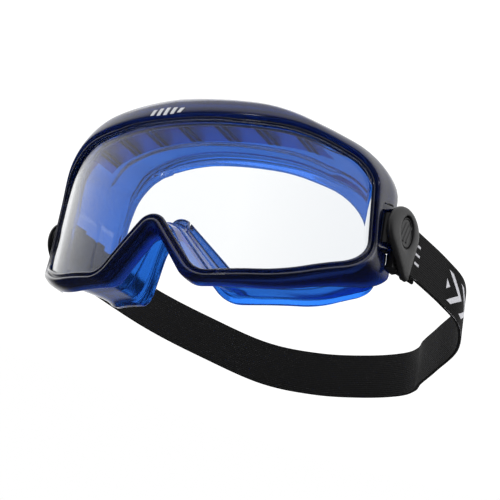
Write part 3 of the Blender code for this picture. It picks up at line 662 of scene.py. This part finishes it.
for side in ("left", "right"):
    rings = []
    for share, w in COVER_PROFILE:
        reach = oval_reach * min(share, 1) + (edge_reach - oval_reach) * max(share - 1, 0)
        flat = RECESS_CENTRE + direction * reach[:, None]
        rings.append(buckle_place(side, np.column_stack([flat, np.full(len(flat), w)])))
    cover = skin("cover_shell_" + side, rings, "poles")
    cover.data.set_sharp_from_angle(angle=np.radians(60))
    cover.data.materials.append(nylon)
    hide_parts("buckle_cover_" + side)
    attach(cover, side + "_buckle")

    share, turn = np.meshgrid(np.linspace(0.03, 0.93, 60), TURN, indexing="ij")
    flat = RECESS_CENTRE + share[..., None] * (direction * oval_reach[:, None])[None]
    du, dv = flat[..., 0] - RECESS_CENTRE[0], flat[..., 1] - RECESS_CENTRE[1]
    lean = du - INLAY_SLANT * dv
    from_bar = np.abs((lean + INLAY_PITCH / 2) % INLAY_PITCH - INLAY_PITCH / 2)
    bar = np.clip((0.55 - from_bar) / 0.3, 0, 1) * (np.abs(lean) < 1.5 * INLAY_PITCH)
    bar = bar * np.clip((5.0 - np.abs(dv)) / 0.5, 0, 1)
    rim = np.clip((share - 0.8) / 0.05, 0, 1) * np.clip((0.92 - share) / 0.03, 0, 1)
    top = np.concatenate([flat, (INLAY_TOP + INLAY_RELIEF * np.maximum(bar, rim))[..., None]], -1)
    under = np.concatenate([flat[[-1, 0]], np.full((2, COVER_SIDES, 1), INLAY_FLOOR)], -1)
    badge = skin("cover_inlay_" + side, buckle_place(side, np.concatenate([top, under])), "poles")
    badge.data.set_sharp_from_angle(angle=np.radians(60))
    badge.data.materials.append(acetal)
    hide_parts("buckle_badge_" + side)
    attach(badge, side + "_buckle")

# ---- Head strap ---------------------------------------------------------------------------------
# One band of black knitted elastic, 23 mm wide and 1.6 mm thick, folded round the bar of each buckle.
# It is knitted in fine lengthwise ribs, carries a woven white pattern by the left buckle, and lies
# slack behind the frame. Two lengths of it meet at the back.
STRAP_WIDTH = 23.0
STRAP_THICKNESS = 1.6
STRAP_LOW = -3.8
FLOOR_Z = -30.8
BAR_U, BAR_W, BAR_RADIUS = 9.0, -0.9, 1.2
TAIL = {"left": 19.0, "right": 17.0}
STRAP_ROUTE = ((101.5, 90.5, -9.2), (106.8, 102.0, -15.6), (102.5, 115.0, -22.6),
               (88.5, 128.0, -28.2), (77.0, 140.0, -30.8), (69.5, 152.0, -30.8),
               (58.5, 160.5, -30.8), (38.0, 165.0, -30.8), (10.0, 163.5, -30.4),
               (-18.0, 155.0, -27.6), (-45.0, 137.0, -20.0), (-69.0, 112.0, -12.0))
KNIT_PITCH = 1.05          # coarser than such a band's ribs, so that they show
KNIT_DEPTH = 0.07
EDGE = 0.35                # the band's edges are rounded by this much
PRINT_MIDDLE, PRINT_HALF, PRINT_RISE = 86.0, 24.0, 7.5
TICK_MIDDLE, TICK_HALF = 40.0, 1.6


def strap_end(side):
    """From the folded tail forwards, half a turn round the bar, and out along the buckle."""
    lap = BAR_RADIUS + GAP + STRAP_THICKNESS / 2
    angle = np.linspace(-np.pi / 2, -3 * np.pi / 2, 17)
    tail = np.column_stack([BAR_U + TAIL[side] * np.array([1.0, 0.8, 0.6, 0.4, 0.2]),
                            np.full(5, BAR_W - lap)])
    fold = np.column_stack([BAR_U + lap * np.cos(angle), BAR_W + lap * np.sin(angle)])
    away = np.array([(BAR_U + 3.0, BAR_W + lap), (BAR_U + 7.0, BAR_W + lap * 0.95),
                     (BAR_U + 12.0, BAR_W + lap * 0.8)])
    flat = np.vstack([tail, fold, away])
    return buckle_place(side, np.column_stack([flat[:, 0], np.full(len(flat), STRAP_LOW), flat[:, 1]]))


def smooth_path(points, steps):
    """The Catmull-Rom curve through the points, evaluated for all spans at once."""
    points = np.asarray(points, float)
    padded = np.vstack([2 * points[0] - points[1], points, 2 * points[-1] - points[-2]])
    a, b, c, d = (padded[k: len(padded) - 3 + k, None] for k in range(4))
    t = (np.arange(steps) / steps)[None, :, None]
    curve = 0.5 * (2 * b + (c - a) * t + (2 * a - 5 * b + 4 * c - d) * t**2
                   + (3 * b - a - 3 * c + d) * t**3)
    return np.vstack([curve.reshape(-1, 3), points[-1]])


left, right = strap_end("left"), strap_end("right")[::-1]
run = smooth_path(np.vstack([left[-1:], STRAP_ROUTE, right[:1]]), 14)
path = np.vstack([left[:-1], run, right[1:]])
path[:, 2] = np.maximum(path[:, 2], FLOOR_Z)
along = np.gradient(path[:, :2], axis=0)
along /= np.linalg.norm(along, axis=1, keepdims=True)
outwards = np.column_stack([along[:, 1], -along[:, 0]])
length = np.concatenate([[0], np.cumsum(np.linalg.norm(np.diff(path, axis=0), axis=1))])
# cross-section: height up the band and distance from its middle, with ribs and rounded edges
rise = np.linspace(EDGE, STRAP_WIDTH - EDGE, 133)
rib = STRAP_THICKNESS / 2 - KNIT_DEPTH * (1 - np.abs(np.sin(np.pi * rise / KNIT_PITCH)))
height = np.concatenate([rise, [STRAP_WIDTH, STRAP_WIDTH], rise[::-1], [0, 0]])
offset = np.concatenate([rib, [EDGE, -EDGE], -rib[::-1], [-EDGE, EDGE]])
round_way = np.concatenate([[0], np.cumsum(np.hypot(np.diff(height), np.diff(offset)))])

elastic, tree, shader = new_material("black knitted elastic", {
    "IOR": 1.4, "Sheen Weight": 0.03, "Sheen Roughness": 0.5})
layout = add_node(tree, "ShaderNodeUVMap", {"uv_map": "band"}, {})
band = add_node(tree, "ShaderNodeSeparateXYZ", {}, {0: layout.outputs[0]})
# UV: x is the length along the band and y the way round it, both in millimetres
centre = add_node(tree, "ShaderNodeMath", {"operation": "SUBTRACT", 1: STRAP_WIDTH / 2},
                  {0: band.outputs["Y"]})
off_centre = add_node(tree, "ShaderNodeMath", {"operation": "ABSOLUTE"}, {0: centre.outputs[0]})
# woven chevrons: stripes of length plus distance off the centre line, 9 mm apart
lean = add_node(tree, "ShaderNodeMath", {"operation": "ADD"},
                {0: band.outputs["X"], 1: off_centre.outputs[0]})
stripes = add_node(tree, "ShaderNodeMath", {"operation": "PINGPONG", 1: 4.5}, {0: lean.outputs[0]})
chevron = add_node(tree, "ShaderNodeMath", {"operation": "LESS_THAN", 1: 1.5},
                   {0: stripes.outputs[0]})
near = add_node(tree, "ShaderNodeMath", {"operation": "COMPARE", 1: PRINT_MIDDLE, 2: PRINT_HALF},
                {0: band.outputs["X"]})
inside_band = add_node(tree, "ShaderNodeMath", {"operation": "LESS_THAN", 1: PRINT_RISE},
                       {0: off_centre.outputs[0]})
here = add_node(tree, "ShaderNodeMath", {"operation": "MULTIPLY"},
                {0: near.outputs[0], 1: inside_band.outputs[0]})
pattern = add_node(tree, "ShaderNodeMath", {"operation": "MULTIPLY"},
                   {0: chevron.outputs[0], 1: here.outputs[0]})
# short woven ticks beside the buckle, 4.4 mm apart
tick_wave = add_node(tree, "ShaderNodeMath", {"operation": "PINGPONG", 1: 2.2}, {0: centre.outputs[0]})
tick_line = add_node(tree, "ShaderNodeMath", {"operation": "LESS_THAN", 1: 0.6},
                     {0: tick_wave.outputs[0]})
tick_here = add_node(tree, "ShaderNodeMath",
                     {"operation": "COMPARE", 1: TICK_MIDDLE, 2: TICK_HALF}, {0: band.outputs["X"]})
tick_band = add_node(tree, "ShaderNodeMath", {"operation": "MULTIPLY"},
                     {0: tick_line.outputs[0], 1: tick_here.outputs[0]})
tick = add_node(tree, "ShaderNodeMath", {"operation": "MULTIPLY"},
                {0: tick_band.outputs[0], 1: inside_band.outputs[0]})
white = add_node(tree, "ShaderNodeMath", {"operation": "MAXIMUM"},
                 {0: pattern.outputs[0], 1: tick.outputs[0]})
# the knit: lengthwise ribs of KNIT_PITCH crossed by stitches 0.8 mm apart
rib_wave = add_node(tree, "ShaderNodeMath", {"operation": "PINGPONG", 1: KNIT_PITCH / 2},
                    {0: band.outputs["Y"]})
stitch = add_node(tree, "ShaderNodeMath", {"operation": "PINGPONG", 1: 0.4}, {0: band.outputs["X"]})
knit = add_node(tree, "ShaderNodeMath", {"operation": "MULTIPLY_ADD", 1: 0.8},
                {0: stitch.outputs[0], 2: rib_wave.outputs[0]})
# painted shade: the yarn is drawn darker where the knit is low, in the hollows between ribs and stitches
shade = add_node(tree, "ShaderNodeMapRange", {"From Max": 0.8}, {0: knit.outputs[0]})
yarn_with_painted_shade = add_node(tree, "ShaderNodeMix", {"data_type": "RGBA", 6: linear("#040405"),
                                        7: linear("#111113")}, {0: shade.outputs[0]})
colour = add_node(tree, "ShaderNodeMix", {"data_type": "RGBA", 7: linear("#dcdce2")},
                  {0: white.outputs[0], 6: yarn_with_painted_shade.outputs[2]})
tree.links.new(colour.outputs[2], shader.inputs["Base Color"])
gloss = add_node(tree, "ShaderNodeMapRange", {"From Max": 0.8, "To Min": 0.9, "To Max": 0.7},
                 {0: knit.outputs[0]})
tree.links.new(gloss.outputs[0], shader.inputs["Roughness"])
relief = add_node(tree, "ShaderNodeBump", {"Strength": 0.5, "Distance": 0.0003},
                  {"Height": knit.outputs[0]})
tree.links.new(relief.outputs[0], shader.inputs["Normal"])

# the two lengths meet at the point nearest this x on the far run, which lies behind FAR_Y
MEET_X, FAR_Y = 24.0, 140.0
middle = int(np.argmin(np.abs(path[:, 0] - MEET_X) + 1e3 * (path[:, 1] < FAR_Y)))
BLENDS = {"left": ((104.0, 100.0, -8.0), (92.5, 72.0, -4.0)),
          "right": ((-78.0, 100.0, -8.0), (-84.0, 70.0, -4.0))}
for side, stretch in (("left", slice(0, middle + 1)), ("right", slice(middle, len(path)))):
    spine, way, reach = path[stretch], outwards[stretch], length[stretch]
    rings = np.stack([spine[:, 0, None] + way[:, 0, None] * offset,
                      spine[:, 1, None] + way[:, 1, None] * offset,
                      spine[:, 2, None] + np.broadcast_to(height, (len(spine), len(height)))], -1)
    strap = skin("elastic_band_" + side, rings, "poles")
    strap.data.set_sharp_from_angle(angle=np.radians(60))
    uv_points = np.stack([np.broadcast_to(reach[:, None], rings.shape[:2]),
                          np.broadcast_to(round_way, rings.shape[:2])], -1).reshape(-1, 2)
    uv_points = np.vstack([uv_points, uv_points[0], uv_points[-1]])
    corners = np.empty(len(strap.data.loops), np.int32)
    strap.data.loops.foreach_get("vertex_index", corners)
    band_map = strap.data.uv_layers.new(name="band")
    band_map.data.foreach_set("uv", uv_points[corners].astype(np.float32).ravel())
    strap.data.materials.append(elastic)
    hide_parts("head_strap")
    start, end = to_frame(BLENDS[side])
    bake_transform(strap)

# ---- Studio -------------------------------------------------------------------------------------
# A pale floor far enough below the goggles to look up at them from the front, a white room that is
# dark below the horizon to every ray but the camera's, and three weak soft boxes for thin highlights.
FLOOR_DROP, FLOOR_HALF = 0.34, 6.0
floor_mesh = bpy.data.meshes.new("studio_floor")
floor_mesh.from_pydata([(x * FLOOR_HALF, y * FLOOR_HALF, -FLOOR_DROP)
                        for x, y in ((-1, -1), (1, -1), (1, 1), (-1, 1))], [], [(0, 1, 2, 3)])
studio_floor = bpy.data.objects.new("studio_floor", floor_mesh)
bpy.context.scene.collection.objects.link(studio_floor)
paper, tree, shader = new_material("matt white paper", {
    "Base Color": linear("#f2f2f2"), "Roughness": 0.9})
floor_mesh.materials.append(paper)
studio_floor.visible_glossy = False

world = bpy.data.worlds.new("white room")
bpy.context.scene.world = world
world.use_nodes = True
tree = world.node_tree
surface = tree.nodes["Background"]
place = add_node(tree, "ShaderNodeTexCoord", {}, {})
lie = add_node(tree, "ShaderNodeVectorMath", {"operation": "DOT_PRODUCT", 1: (0.0, 0.25, 1.0)},
               {0: place.outputs["Generated"]})
glow = add_node(tree, "ShaderNodeMapRange", {"From Min": 0.08, "From Max": 0.5, "To Min": 0.02,
                                             "To Max": 1.15}, {0: lie.outputs["Value"]})
ray = add_node(tree, "ShaderNodeLightPath", {}, {})
shown = add_node(tree, "ShaderNodeMath", {"operation": "MAXIMUM"},
                 {0: ray.outputs["Is Camera Ray"], 1: glow.outputs[0]})
tree.links.new(shown.outputs[0], surface.inputs["Strength"])
surface.inputs["Color"].default_value = linear("#ffffff")

# name, place in metres, width in metres, power in watts
SOFT_BOXES = (("key", (-0.4, 0.3, 1.0), 0.9, 1.5), ("side", (0.9, 0.3, 0.2), 0.4, 0.5),
              ("line", (0.2, -0.9, 0.1), 0.1, 0.5))
for name, spot, size, power in SOFT_BOXES:
    lamp = bpy.data.lights.new(name, "AREA")
    lamp.shape = "RECTANGLE"
    lamp.size = size
    lamp.size_y = size * 0.6
    lamp.energy = power
    soft_box = bpy.data.objects.new(name, lamp)
    aim = -np.array(spot) / np.linalg.norm(spot)
    across = np.cross(aim, (0, 0, 1))
    across /= np.linalg.norm(across)
    turn = Matrix(np.column_stack([across, np.cross(across, aim), -aim]).tolist()).to_4x4()
    soft_box.matrix_world = Matrix.Translation(spot) @ turn
    bpy.context.scene.collection.objects.link(soft_box)

# The camera looks up at the goggles from the wearer's front left.
CAMERA_RIGHT, CAMERA_UP = np.array([0.885, 0.437, 0.163]), np.array([0.028, -0.399, 0.917])
CAMERA_PLACE = (301.4, -434.9, -216.6)
FOCAL_LENGTH = 93.96
lens_data = bpy.data.cameras.new("camera")
lens_data.lens = FOCAL_LENGTH
lens_data.clip_start = 0.01
camera = bpy.data.objects.new("camera", lens_data)
away = np.cross(CAMERA_RIGHT, CAMERA_UP)
turn = np.column_stack([CAMERA_RIGHT, np.cross(away, CAMERA_RIGHT), away])
turn /= np.linalg.norm(turn, axis=0)
camera.matrix_world = (Matrix.Translation(to_frame(CAMERA_PLACE))
                       @ Matrix(turn.tolist()).to_4x4())
bpy.context.scene.collection.objects.link(camera)
bpy.context.scene.camera = camera
bpy.context.scene.view_settings.view_transform = "Standard"
